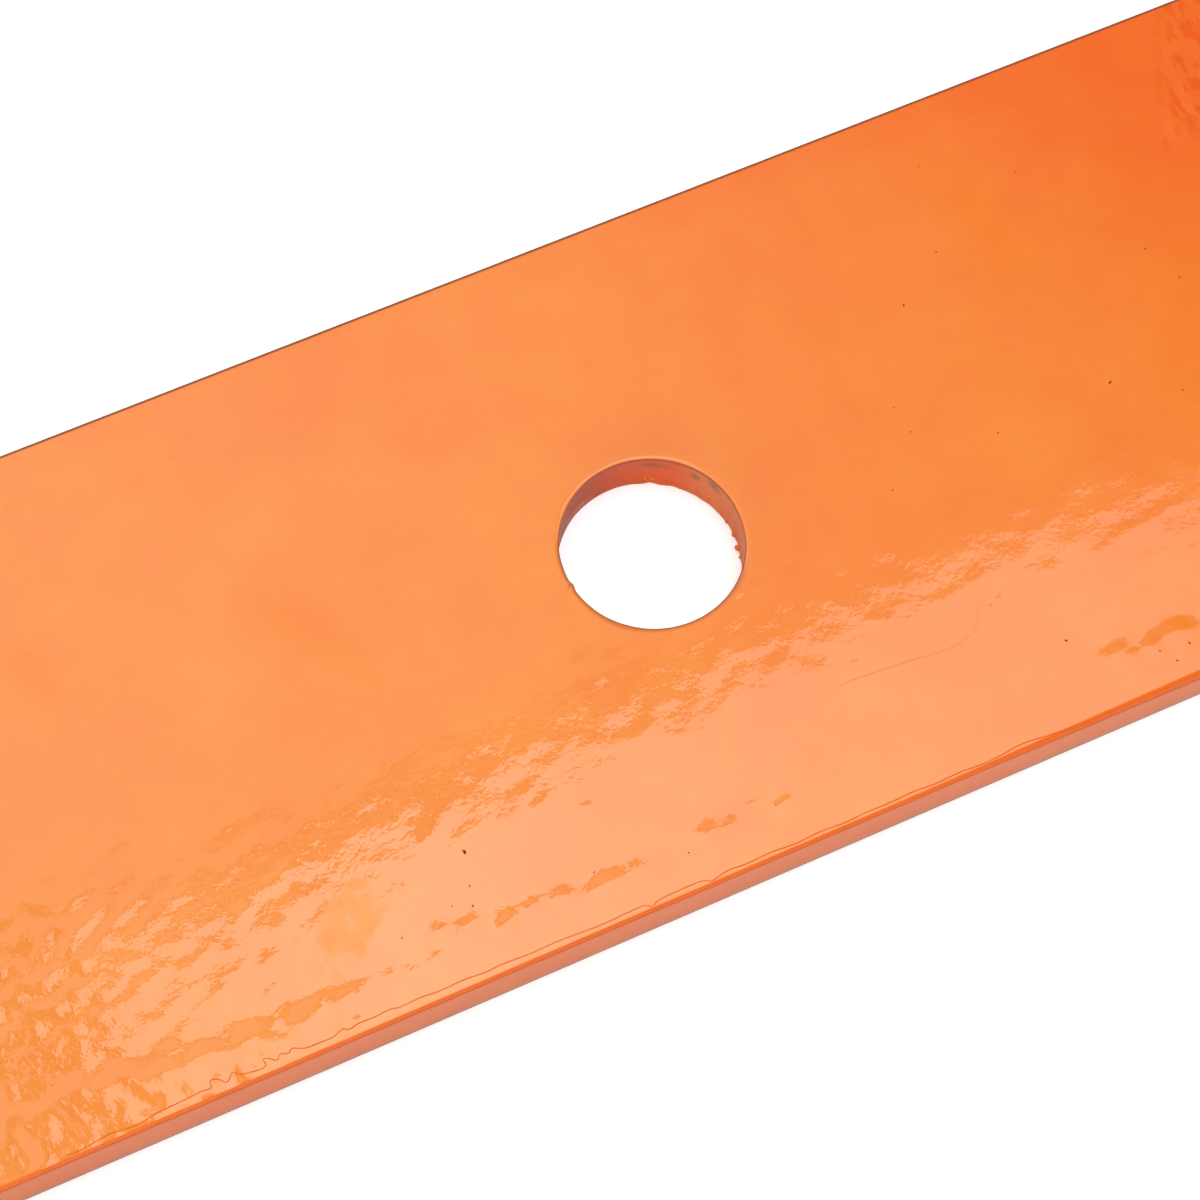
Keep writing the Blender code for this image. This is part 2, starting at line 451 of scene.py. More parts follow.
# Painted sheen on the hole's wall
WALL_SHEEN_LILAC = (0.80, 0.280, 0.150)
# Painted shade on the hole's rim
RIM_SHADE_BROWN = (0.30, 0.060, 0.012)
WALL_GREY = (0.22, 0.110, 0.060)
# Brown for the real stain round the hole and for painted shade along the long edges
STAIN_AND_EDGE_SHADE_BROWN = (0.20, 0.055, 0.022)
# Painted contact shadow
FOOT_SHADOW_GREY = (0.50, 0.240, 0.150)
MOTTLE = (0.985, 0.90, 0.84, 1.0)
STREAK_SHADE = (0.95, 0.72, 0.50, 1.0)
FOLD_PAINT = ((0.84, 0.180, 0.018), (0.74, 0.140, 0.014))
THREAD_PAINT = ((0.90, 0.31, 0.05), (0.90, 0.28, 0.04))
BEAD_PAINT = ((0.96, 0.25, 0.020), (0.94, 0.17, 0.010))
DUST_PAINT = ((0.16, 0.020, 0.002), (0.32, 0.07, 0.008))

# Fine detail in the materials. Scales are in waves to the metre, and bumps in metres.
GLOSS_ROUGHNESS = 0.02
DULL_ROUGHNESS = 0.50
MOTTLE_SCALE = 130.0
STREAK_SCALE = 1200.0
STREAK_STRETCH = (1.0, 0.4, 1.0)
DULL_GRAIN_SCALE = 900.0
PEEL_SCALE = 1300.0
PEEL_BUMP = 6e-6
SKIN_SCALE = 2500.0
SKIN_BUMP = 1e-5
RIPPLED_PEEL = 0.8
CHAOS_PEEL = 0.6
STREAKED_PEEL = 1.0

# Studio, in metres. Levels are how bright a thing is against white.
SOFTBOX_HEIGHT = 0.5862
SOFTBOX_NEAR = -0.30
SOFTBOX_FAR_X = (-0.046, 0.0, 0.04, 0.09, 0.14, 0.20, 0.23, 0.26, 0.29, 0.33)
SOFTBOX_FAR_Y = (0.183, 0.184, 0.187, 0.190, 0.192, 0.194, 0.195, 0.1915, 0.185, 0.178)
SOFTBOX_LEVELS = (3.8, 4.2, 4.8, 4.2, 3.6, 3.2, 3.2, 2.9, 2.6, 2.4)
RIM_DEPTH = 0.013
RIM_WIDTH = 0.030
RIM_LEVELS = (1.1, 0.8)
LEFT_RIM_LEVEL = 0.75
CEILING_LEVEL = 0.25
FILL_TOWARDS = (-0.50, -0.84, 0.22)
FILL_WIDTH = (0.60, 0.95)
FILL_LEVEL = 1.15
HORIZON_AT = (0.05, 0.16)
HORIZON_LEVEL = 0.6
GLOW_TOWARDS = (-0.15, 0.35, 0.92)
GLOW_WIDTH = (0.84, 0.995)
GLOW_LEVEL = 1.9
FLOOR_SIZE = 8.0
FLOOR_GAP = 0.00005
FLOOR_COLOUR = 0.76
FLOOR_LIFT = 0.5
FLOOR_MIRRORED = 0.1


def ease(value, low, high):
    """0 below low, 1 above high, and a smooth rise between them."""
    share = np.clip((value - low) / (high - low), 0.0, 1.0)
    return share * share * (3.0 - 2.0 * share)


def fade(value, low, high):
    """1 below low, 0 above high, and a smooth fall between them."""
    return 1.0 - ease(value, low, high)


def waves(x, y, lengths, seed, steep=True, heading=0.0, spread=math.pi, count=56):
    """Ripples without a pattern. Their slope has an rms of 1, or their height if steep is off."""
    rng = np.random.default_rng(seed)
    turned = heading + rng.uniform(-spread, spread, count)
    number = math.tau / rng.uniform(lengths[0], lengths[1], count)
    phase = rng.uniform(0.0, math.tau, count)
    height = np.zeros_like(x, dtype=float)
    for angle, wave, start in zip(turned, number, phase):
        ridge = np.cos(wave * (x * math.cos(angle) + y * math.sin(angle)) + start)
        height += ridge / wave if steep else ridge
    return height * math.sqrt(2.0 / count)


def past_line(x, y, point, along):
    """How far (x, y) lies to the left of the line through point in the direction along."""
    size = math.hypot(*along)
    return ((y - point[1]) * along[0] - (x - point[0]) * along[1]) / size


def spot(x, y, centre, reach, heading=0.0):
    """A soft oval patch, 1 at its centre."""
    turned = math.radians(heading)
    u = (x - centre[0]) * math.cos(turned) + (y - centre[1]) * math.sin(turned)
    v = (y - centre[1]) * math.cos(turned) - (x - centre[0]) * math.sin(turned)
    return np.exp(-((u / reach[0]) ** 2) - (v / reach[1]) ** 2)


def spots(x, y, patches):
    """Oval patches added up. Each is x, y, half length, half width, heading and height."""
    total = np.zeros_like(x, dtype=float)
    for across, up, half_length, half_width, heading, rise in patches:
        total += rise * spot(x, y, (across, up), (half_length, half_width), heading)
    return total


def past_fat_edge(x, y):
    """How far (x, y) lies inward of the middle of the fat edge's flank on the near side."""
    return y + HALF_WIDTH - np.interp(x, FAT_EDGE_X, FAT_EDGE_MIDDLE)


def calmer(x, y):
    """Ripples are weaker on the fat edge's flank: what is left of them there, up to 1."""
    return 1.0 - CALM_SHARE * np.exp(-((past_fat_edge(x, y) / CALM_REACH) ** 2))


def left_ripples(x, y):
    """How rippled the paint is to the left of the hole on the near side, from 0 to 1."""
    some = SOME_RIPPLES * fade(x, *SOME_RIPPLES_X) * fade(y, *SOME_RIPPLES_Y)
    more = MORE_RIPPLES * fade(x, *MORE_RIPPLES_X) * fade(y, *MORE_RIPPLES_Y)
    by_edge = EDGE_RIPPLES * fade(y + HALF_WIDTH, *EDGE_RIPPLES_REACH) * fade(x, *EDGE_RIPPLES_X)
    return np.maximum(some + more, by_edge) * calmer(x, y) * ease(x, *LEFT_END_X)


def chaos(x, y):
    """The tangled paint beyond the left of the rippled stretch, from 0 to 1."""
    begun = ease(past_line(x, y, CHAOS_FROM, CHAOS_ALONG), *CHAOS_BLEND)
    return begun * calmer(x, y) * fade(y, *CHAOS_Y) * ease(x, *LEFT_END_X)


def streaked(x, y):
    """The streaks at the far edge on the right, from 0 to 1."""
    beyond = ease(past_line(x, y, STREAKS_FROM, STREAKS_ALONG), *STREAKS_BLEND)
    return beyond * ease(y, *STREAKS_Y) * fade(x, *STREAKS_END_X)


def fat_edge(x, y):
    """The paint that drew up beside the long edges, with a ragged inner flank."""
    uneven = waves(x, y, FAT_EDGE_WAVES, FAT_EDGE_SEED, steep=False)
    near_rise = np.interp(x, FAT_EDGE_X, FAT_EDGE_RISE) * (1.0 + FAT_EDGE_UNEVEN * uneven)
    wander = FAT_EDGE_WANDER * waves(x, 0.0 * y, WANDER_WAVES, WANDER_SEED, steep=False)
    near_past = past_fat_edge(x, y) + wander
    far_past = HALF_WIDTH - y + wander - FAR_EDGE_MIDDLE
    near = near_rise * fade(near_past, -FAT_EDGE_REACH, FAT_EDGE_REACH)
    far = FAR_EDGE_RISE * fade(far_past, -FAT_EDGE_REACH, FAT_EDGE_REACH)
    return near + far


def most_droop(x, y):
    """How low the paint hangs at the rim of the rounded near edge."""
    return np.interp(x, DROOP_X, DROOP) * (y < 0.0)


def droop(x, y):
    from_rim = y + HALF_WIDTH - SIDE_ROOM - EDGE_ROUND
    return most_droop(x, y) * (1.0 - np.clip(from_rim / DROOP_WIDTH, 0.0, 1.0)) ** 2


def edge_lean(x, y):
    """The angle at which the top face runs into the rounded edge."""
    return np.arctan(2.0 * most_droop(x, y) / DROOP_WIDTH)


def edge_radius(lean):
    """The rounded edge's radius, so that it always reaches EDGE_ROUND sideways."""
    return EDGE_ROUND / (1.0 - np.sin(lean))


def ground_height(x, y):
    """The height of the ground face under (x, y). It is over the blade where nothing is ground."""
    side = np.sign(x)
    past_start = np.abs(x) - (HALF_LENGTH - GROUND_LENGTH)
    inward = np.clip(past_start, -WHEEL_RADIUS, 0.0)
    lift = WHEEL_RADIUS - np.sqrt(WHEEL_RADIUS**2 - inward**2)
    from_edge = side * y + HALF_WIDTH
    return GROUND_LAND + from_edge * math.tan(GROUND_ANGLE) + lift / math.cos(GROUND_ANGLE)


def lower_of(height, limit, softness):
    """The lower of two surfaces, with the crease between them rounded."""
    return height - softness * np.logaddexp(0.0, (height - limit) / softness)


def orange_peel(x, y):
    """Two crossing sets of ripples, which break a reflection's border into blocks."""
    one, other = (
        waves(x, y, PEEL_WAVES, seed, heading=heading, spread=PEEL_SPREAD)
        for seed, heading in zip(PEEL_SEEDS, PEEL_HEADINGS)
    )
    return (one + other) * math.sqrt(0.5)


def ripples(x, y):
    """All the ripples: fine ones where the grid is fine, and a slow swell all over."""
    peel = PEEL_SLOPE * orange_peel(x, y)
    left = waves(x, y, LEFT_WAVES, LEFT_SEED, heading=LEFT_HEADING, spread=LEFT_SPREAD)
    left = LEFT_SLOPE * left_ripples(x, y) * left
    tangle = TANGLE_SLOPE * chaos(x, y) * waves(x, y, TANGLE_WAVES, TANGLE_SEED)
    streaks = waves(x, y, STREAK_WAVES, STREAK_SEED, spread=STREAK_SPREAD)
    streaks = STREAK_SLOPE * streaked(x, y) * streaks
    patches = PATCH_SLOPE * spots(x, y, PATCHES) * waves(x, y, PATCH_WAVES, PATCH_SEED)
    fine = fade(np.abs(x), FINE_REACH - FINE_FADE, FINE_REACH)
    swell = SWELL_SLOPE * waves(x, y, SWELL_WAVES, SWELL_SEED)
    return (peel + left + tangle + streaks + patches) * fine + swell


def top_height(x, y):
    """The coat's top face."""
    height = THICKNESS - FILM_ROOM + ripples(x, y) + fat_edge(x, y) + spots(x, y, BLISTERS)
    height += FAR_LIFT * ease(y, FAR_LIFT_FROM, HALF_WIDTH) - droop(x, y)
    height = lower_of(height, THICKNESS - HIGHEST_UNDER_TOP, HIGHEST_SOFTNESS)
    return lower_of(height, ground_height(x, y), CREASE_SOFTNESS)


class Shell:
    """Points and faces collected for one mesh."""

    def __init__(self):
        self.points = []
        self.faces = []
        self.count = 0

    def add_points(self, x, y, z):
        placed = np.stack(np.broadcast_arrays(x, y, z), axis=-1).reshape(-1, 3)
        self.points.append(placed)
        ids = np.arange(self.count, self.count + len(placed))
        self.count += len(placed)
        return ids

    def add_faces(self, *corners):
        self.faces.append(np.stack([np.ravel(c) for c in corners], axis=-1))

    def band(self, first, second, closed=True):
        """Quads between two rows of points. Seen from outside, second is to the right of first."""
        if closed:
            self.add_faces(first, second, np.roll(second, -1), np.roll(first, -1))
        else:
            self.add_faces(first[:-1], second[:-1], second[1:], first[1:])

    def all_points(self):
        return np.concatenate(self.points)

    def joined(self):
        """The points that faces use, and the faces as lists of their numbers."""
        points = self.all_points()
        used = np.unique(np.concatenate([np.ravel(group) for group in self.faces]))
        new_id = np.full(len(points), -1)
        new_id[used] = np.arange(len(used))
        faces = [face for group in self.faces for face in new_id[group].tolist()]
        return points[used], faces


def add_object(name, mesh):
    obj = bpy.data.objects.new(name, mesh)
    bpy.context.scene.collection.objects.link(obj)
    return obj


def add_solid(name, points, faces, material):
    """A smooth mesh object from points in millimetres."""
    mesh = bpy.data.meshes.new(name)
    mesh.from_pydata((points * MM).tolist(), [], faces)
    mesh.shade_smooth()
    mesh.materials.append(material)
    return add_object(name, mesh)


def fine_rows():
    """Where the rows of the fine grid lie across the bar. Three crowd beside each rim."""
    inner = inner_edge(0.0)
    even = np.linspace(BLOCK_HALF, inner - DROOP_WIDTH, SIDE_CELLS - 2)[1:]
    close = inner - DROOP_WIDTH * np.array((2 / 3, 1 / 3, 0.0))
    outside = np.concatenate([even, close])
    inside = np.linspace(-BLOCK_HALF, BLOCK_HALF, BLOCK_CELLS + 1)
    return np.concatenate([-outside[::-1], inside, outside])


def fine_columns():
    """Where the columns of the fine grid lie along the bar."""
    cells = round((FINE_REACH - BLOCK_HALF) / FINE_STEP)
    outside = np.linspace(BLOCK_HALF, FINE_REACH, cells + 1)[1:]
    inside = np.linspace(-BLOCK_HALF, BLOCK_HALF, BLOCK_CELLS + 1)
    return np.concatenate([-outside[::-1], inside, outside])


def inner_edge(x):
    """Half the width of the top face at x, inside the rounded edge."""
    corner = TIP_CORNER - SIDE_ROOM - EDGE_ROUND
    past = np.clip(x - (HALF_LENGTH - TIP_CORNER), 0.0, corner)
    return HALF_WIDTH - TIP_CORNER + math.sqrt(corner**2 - past**2)


def end_columns():
    """Where the columns beyond the fine grid lie, from the grid out to the tip."""
    corner = TIP_CORNER - SIDE_ROOM - EDGE_ROUND
    start = HALF_LENGTH - TIP_CORNER
    cells = round((start - FINE_REACH) / END_STEP)
    straight = np.linspace(FINE_REACH, start, cells + 1)[1:]
    turned = np.linspace(0.0, math.pi / 2, TIP_STEPS + 1)[1:]
    return np.concatenate([straight, start + corner * np.sin(turned)])


def crease(x):
    """Where the ground face meets the top face at x, on the ground side."""
    inward = np.clip(x - (HALF_LENGTH - GROUND_LENGTH), -WHEEL_RADIUS, 0.0)
    lift = WHEEL_RADIUS - math.sqrt(WHEEL_RADIUS**2 - inward**2)
    rise = THICKNESS - FILM_ROOM - GROUND_LAND
    return -HALF_WIDTH + rise / math.tan(GROUND_ANGLE) - lift / math.sin(GROUND_ANGLE)


def end_rows(x):
    """Where the rows cross a column of the right-hand end. They crowd where the crease is."""
    edge = inner_edge(x)
    even = fine_rows()[::2] * edge / inner_edge(0.0)
    fold = max(crease(x), -edge + CREASE_CLEAR)
    close, near = CREASE_KNOTS
    row = CREASE_ROW
    rows = (0, row - 2, row - 1, row, row + 1, row + 2, len(even) - 1)
    places = (-edge, fold - near, fold - close, fold, fold + close, fold + near, edge)
    crowded = np.interp(np.arange(len(even)), rows, places)
    share = ease(x, FINE_REACH, HALF_LENGTH - GROUND_LENGTH - CROWDED_BEFORE_GRIND)
    return even + (crowded - even) * share


def add_top(shell):
    """The top face. Returns its outer rim and the hole's rim, both anticlockwise from above."""
    rows, columns = fine_rows(), fine_columns()
    x, y = np.meshgrid(columns, rows, indexing="ij")
    fine = shell.add_points(x, y, top_height(x, y)).reshape(x.shape)
    first_column = len(columns) // 2 - BLOCK_CELLS // 2
    last_column = first_column + BLOCK_CELLS
    first_row, last_row = SIDE_CELLS, SIDE_CELLS + BLOCK_CELLS
    keep = np.ones((len(columns) - 1, len(rows) - 1), dtype=bool)
    keep[first_column:last_column, first_row:last_row] = False
    corners = (fine[:-1, :-1], fine[1:, :-1], fine[1:, 1:], fine[:-1, 1:])
    shell.add_faces(*(corner[keep] for corner in corners))

    right, left = [fine[-1]], [fine[0]]
    for along in end_columns():
        across = end_rows(along)
        right.append(add_column(shell, along, across))
        left.append(add_column(shell, -along, -across[::-1]))
    join_ends(shell, right, left)

    square = np.concatenate([
        fine[first_column:last_column, first_row],
        fine[last_column, first_row:last_row],
        fine[last_column:first_column:-1, last_row],
        fine[first_column, last_row:first_row:-1],
    ])
    hole_rim = add_ring(shell, square)
    south = [column[0] for column in left[:0:-1]] + list(fine[:, 0])
    south += [column[0] for column in right[1:]]
    north = [column[-1] for column in right[:0:-1]] + list(fine[::-1, -1])
    north += [column[-1] for column in left[1:]]
    outer_rim = np.array(south + list(right[-1][1:-1]) + north + list(left[-1][-2:0:-1]))
    return outer_rim, hole_rim


def add_column(shell, along, across):
    x = np.full_like(across, along)
    return shell.add_points(x, across, top_height(x, across))


def join_ends(shell, right, left):
    """The ends' coarse columns and their seams with the fine grid."""
    for inner, outer in zip(right[1:], right[2:]):
        shell.band(inner, outer, closed=False)
    for inner, outer in zip(left[1:], left[2:]):
        shell.band(outer, inner, closed=False)
    join_seam(shell, right[0], right[1], mirrored=False)
    join_seam(shell, left[0], left[1], mirrored=True)


def join_seam(shell, fine, coarse, mirrored):
    """Triangles where every second row of the fine grid stops."""
    triangles = (
        (fine[:-2:2], coarse[:-1], fine[1::2]),
        (fine[1::2], coarse[:-1], coarse[1:]),
        (fine[1::2], coarse[1:], fine[2::2]),
    )
    for a, b, c in triangles:
        corners = (b, a, c) if mirrored else (a, b, c)
        shell.add_faces(*corners)


def add_ring(shell, square):
    """The top face between the square opening in the grid and the hole's rounded rim."""
    corners = shell.all_points()[square]
    angle = np.arctan2(corners[:, 1], corners[:, 0])
    rim_radius = hole_radius(angle, THICKNESS) + HOLE_ROUND
    outer = square
    for layer in range(1, RING_LAYERS + 1):
        share = layer / RING_LAYERS
        x = corners[:, 0] * (1.0 - share) + rim_radius * np.cos(angle) * share
        y = corners[:, 1] * (1.0 - share) + rim_radius * np.sin(angle) * share
        inner = shell.add_points(x, y, top_height(x, y))
        shell.band(inner, outer)
        outer = inner
    return outer


def around_hole(angle, degrees):
    """How far round the hole's wall an angle is from one given in degrees, in millimetres."""
    turned = angle - math.radians(degrees)
    return HOLE_RADIUS * (np.mod(turned + math.pi, math.tau) - math.pi)


def hole_radius(angle, z):
    """The hole's radius over the paint: a drip on the top rim and ragged paint low on the wall."""
    z = z + 0.0 * angle
    around = HOLE_RADIUS * angle
    drip = np.exp(-((around_hole(angle, DRIP_AT) / DRIP_REACH) ** 2))
    drip = DRIP_RISE * drip * ease(z, *DRIP_Z)
    ragged = 1.0 + waves(around, z, RAGGED_WAVES, RAGGED_SEED, steep=False)
    facing = np.cos(angle - math.radians(RAGGED_AROUND))
    low = fade(z, *RAGGED_Z) * ease(facing, *RAGGED_SPREAD)
    uneven = UNEVEN_RISE * waves(around, 2.0 * z, UNEVEN_WAVES, UNEVEN_SEED, steep=False)
    return HOLE_RADIUS - HOLE_FILM - drip - RAGGED_RISE * low * ragged - uneven


def add_hole_wall(shell, rim):
    """The rounded rims and the wall of the hole. Returns its lowest row."""
    points = shell.all_points()[rim]
    angle = np.arctan2(points[:, 1], points[:, 0])
    top = points[:, 2]
    upper = rim
    for step in range(1, ROUND_STEPS + 1):
        turned = math.pi / 2 * step / ROUND_STEPS
        z = top - HOLE_ROUND * (1.0 - math.cos(turned))
        radius = hole_radius(angle, z) + HOLE_ROUND * (1.0 - math.sin(turned))
        upper = add_hole_row(shell, upper, angle, radius, z)
    for step in range(1, HOLE_STEPS + 1):
        share = step / HOLE_STEPS
        z = (top - HOLE_ROUND) * (1.0 - share) + HOLE_ROUND * share
        upper = add_hole_row(shell, upper, angle, hole_radius(angle, z), z)
    for step in range(1, ROUND_STEPS + 1):
        turned = math.pi / 2 * step / ROUND_STEPS
        z = HOLE_ROUND * (1.0 - math.sin(turned)) + 0.0 * angle
        radius = hole_radius(angle, z) + HOLE_ROUND * (1.0 - math.cos(turned))
        upper = add_hole_row(shell, upper, angle, radius, z)
    return upper


def add_hole_row(shell, upper, angle, radius, z):
    lower = shell.add_points(radius * np.cos(angle), radius * np.sin(angle), z)
    shell.band(lower, upper)
    return lower


def outward(points):
    """The sideways direction out of the bar at each point of the outer rim."""
    start_x, start_y = HALF_LENGTH - TIP_CORNER, HALF_WIDTH - TIP_CORNER
    x = np.sign(points[:, 0]) * np.maximum(np.abs(points[:, 0]) - start_x, 0.0)
    y = np.sign(points[:, 1]) * np.maximum(np.abs(points[:, 1]) - start_y, 0.0)
    size = np.maximum(np.hypot(x, y), 1e-9)
    return x / size, y / size


def edge_flatness(y):
    """The rounded edge's height over its width: less on the far side."""
    return 1.0 - (1.0 - FAR_FLATNESS) * ease(y, *NEAR_TO_FAR)


def edge_rows(top, lean, flatness):
    """The rows down the bar's side as height and how far out: rounded edge, side, rounded edge."""
    rows = []
    radius = edge_radius(lean)
    for step in range(1, ROUND_STEPS + 1):
        turned = lean + (math.pi / 2 - lean) * step / ROUND_STEPS
        drop = flatness * radius * (np.cos(lean) - np.cos(turned))
        rows.append((top - drop, radius * (np.sin(turned) - np.sin(lean))))
    for step in range(1, SIDE_STEPS + 1):
        share = step / SIDE_STEPS
        rows.append(((top - drop) * (1.0 - share) + BOTTOM_ROUND * share, EDGE_ROUND))
    for step in range(1, ROUND_STEPS + 1):
        turned = math.pi / 2 * step / ROUND_STEPS
        out = EDGE_ROUND - BOTTOM_ROUND * (1.0 - math.cos(turned))
        rows.append((BOTTOM_ROUND * (1.0 - math.sin(turned)) + 0.0 * top, out))
    return rows


def add_edge_wall(shell, rim):
    """The rounded edges and the sides, all round the bar. Returns the lowest row."""
    points = shell.all_points()[rim]
    out_x, out_y = outward(points)
    top = points[:, 2]
    lean = edge_lean(points[:, 0], points[:, 1])
    along = points[:, 0] - points[:, 1]
    upper = rim
    for z, out in edge_rows(top, lean, edge_flatness(points[:, 1])):
        swell = waves(along, SIDE_WAVES_DOWN * z, SIDE_WAVES, SIDE_SEED, steep=False)
        swell = np.clip(swell, -SIDE_SWELL_LIMIT, SIDE_SWELL_LIMIT)
        out = out + SIDE_SWELL * swell * np.sin(math.pi * np.clip(z / top, 0.0, 1.0))
        lower = shell.add_points(points[:, 0] + out_x * out, points[:, 1] + out_y * out, z)
        shell.band(upper, lower)
        upper = lower
    return upper


def add_underside(shell, outer, ring):
    """Long quads across the bar, with fans of triangles beside the hole and at the tips."""
    tip = len(fine_rows()) // 2 - 1
    count = len(outer) // 2 - tip
    south, right_tip = outer[:count], outer[count:count + tip]
    north, left_tip = outer[count + tip:2 * count + tip][::-1], outer[2 * count + tip:]
    side = BLOCK_CELLS
    first = count // 2 - side // 2
    last = first + side
    shell.band(south[1:first + 1], north[1:first + 1], closed=False)
    shell.band(south[last:-1], north[last:-1], closed=False)
    shell.band(south[first:last + 1], ring[:side + 1], closed=False)
    shell.band(ring[2 * side:3 * side + 1][::-1], north[first:last + 1], closed=False)
    add_fan(shell, south[first], north[first], np.append(ring[3 * side:], ring[0])[::-1])
    add_fan(shell, north[last], south[last], ring[side:2 * side + 1][::-1])
    add_fan(shell, south[-2], north[-2], np.concatenate([south[-1:], right_tip, north[-1:]]))
    add_fan(shell, north[1], south[1], np.concatenate([north[:1], left_tip, south[:1]]))


def add_fan(shell, near, far, line):
    """Triangles from two points to a line of points across from them."""
    middle = len(line) // 2
    shell.add_faces(np.full(middle, near), line[1:middle + 1], line[:middle])
    shell.add_faces([near], [far], [line[middle]])
    shell.add_faces(np.full(len(line) - 1 - middle, far), line[middle + 1:], line[middle:-1])


def mark_bottom_sharp(mesh):
    """Keep the flat underside flat in shading."""
    ends = np.empty(2 * len(mesh.edges), dtype=int)
    mesh.edges.foreach_get("vertices", ends)
    heights = np.empty(3 * len(mesh.vertices))
    mesh.vertices.foreach_get("co", heights)
    low = heights.reshape(-1, 3)[:, 2] < ON_FLOOR
    sharp = low[ends.reshape(-1, 2)].all(axis=1)
    mark = mesh.attributes.new("sharp_edge", "BOOLEAN", "EDGE")
    mark.data.foreach_set("value", sharp)


def add_number_field(mesh, name, values):
    field = mesh.attributes.new(name, "FLOAT", "POINT")
    field.data.foreach_set("value", np.asarray(values, dtype=np.float32))


def add_colour_field(mesh, name, colours):
    field = mesh.attributes.new(name, "FLOAT_COLOR", "POINT")
    opaque = np.concatenate([colours, np.ones((len(colours), 1))], axis=1)
    field.data.foreach_set("color", opaque.astype(np.float32).ravel())


def paint_depth_and_falloff(x, y):
    """How deep the orange is, from 0, pale, to 1. Its falloff along and across the bar and at the
    far corner is painted shade.
    """
    # Painted shade: the light's falloff along the bar, across it and at the far corner
    lengthways_falloff = FALLOFF_ALONG * np.tanh(x / FALLOFF_LENGTH) * fade(np.abs(x), *FALLOFF_ENDS)
    across = FALLOFF_ACROSS * y / HALF_WIDTH
    cloud = DEPTH_CLOUD * waves(x, y, CLOUD_WAVES, CLOUD_SEED, steep=False)
    corner_x, corner_y = SHADED_CORNER_POINT
    past_corner = y + SHADED_CORNER_SLANT * (x - corner_x) - corner_y
    corner = SHADED_CORNER / (1.0 + np.exp(-past_corner / SHADED_CORNER_SOFTNESS))
    corner *= fade(x, *SHADED_CORNER_END)
    return DEPTH_PLAIN + lengthways_falloff + across + cloud + corner


def smeared(x, y):
    """The dull yellowish smear near the near edge on the left, from 0 to 1."""
    ragged = SMEAR_RAGGED * waves(x, y, SMEAR_WAVES, SMEAR_SEED, steep=False)
    smear = spot(x, y, SMEAR_CENTRE, SMEAR_REACH, SMEAR_HEADING)
    return SMEAR_SHARE * ease(smear + ragged * smear, *SMEAR_RANGE)


def stained(x, y):
    """The faint brown round the hole, from 0 to 1."""
    from_centre = np.hypot(x - STAIN_CENTRE[0], y - STAIN_CENTRE[1])
    return STAIN_SHARE * fade(from_centre, *STAIN_REACH)


def on_wall(x, y, below):
    """1 on the hole's wall and 0 elsewhere. below is the depth under the top face."""
    return ease(below, *WALL_BELOW) * (np.hypot(x, y) < HOLE_RADIUS + NEAR_HOLE)


def round_share(x, y, below):
    """How far down the rounded edge of the bar a point is: 0 at its rim, 1 where the side begins."""
    lean = edge_lean(x, y)
    share = below / (edge_flatness(y) * edge_radius(lean) * np.cos(lean))
    return np.where(np.hypot(x, y) > HOLE_RADIUS + NEAR_HOLE, share, 0.0)


def on_corner(x, y, share):
    """The deeper orange along the rounded near edge, from 0 to 1."""
    hanging = ease(droop(x, y), *CORNER_DROOP)
    rounded = ease(share, *CORNER_ROUND) * (y < -HALF_WIDTH + CORNER_REACH)
    return np.maximum(hanging, rounded) * fade(share, *CORNER_ROUND_END)


def edges_painted_shade(x, y, share):
    """Painted shade along the bar's long rounded edges, from 0 to 1."""
    near = ease(share, *EDGE_SHADE_ROUND) * fade(share, *EDGE_SHADE_ROUND_END) * (y < 0.0)
    near_share = EDGE_SHADE_SHARE + EDGE_SHADE_SHARE_MORE * ease(x, *EDGE_SHADE_MORE_X)
    from_far_side = HALF_WIDTH - SIDE_ROOM - y
    far = fade(from_far_side, *FAR_EDGE_SHADE_REACH) * fade(share, *FAR_EDGE_SHADE_ROUND_END)
    return near_share * near + FAR_EDGE_SHADE_SHARE * far


def foot_painted_shadow(y, z):
    """A painted contact shadow: a greyish line along the foot of the near side, from 0 to 1."""
    return fade(z, *FOOT_SHADOW_Z) * (y < -HALF_WIDTH + FOOT_SHADOW_REACH)


def rim_painted_shade(x, y, below):
    """Painted shade along the hole's rim, from 0 to 1."""
    towards_back = (BACK_OF_HOLE[0] * x + BACK_OF_HOLE[1] * y) / HOLE_RADIUS
    faces_away = fade(towards_back, *BACK_RANGE)
    start = RIM_SHADE_START_BACK * (1.0 - faces_away) + RIM_SHADE_START
    band = ease(below, start, start + RIM_SHADE_DEPTH) * fade(below, *RIM_SHADE_END)
    return RIM_SHADE_SHARE * band * (np.hypot(x, y) < HOLE_RADIUS + HOLE_ROUND + NEAR_RIM)


def wall_marks(x, y, z, marks):
    """Soft marks on the hole's wall, from 0 to 1. They place the grey smudges and the patches of
    painted lilac sheen.
    """
    angle = np.arctan2(y, x)
    total = np.zeros_like(x)
    for degrees, height, half_length, half_height in marks:
        around = around_hole(angle, degrees)
        total += np.exp(-((around / half_length) ** 2) - ((z - height) / half_height) ** 2)
    return np.clip(total, 0.0, 1.0)


def blend(low, high, share):
    low, high = np.asarray(low), np.asarray(high)
    return low + (high - low) * share[:, None]


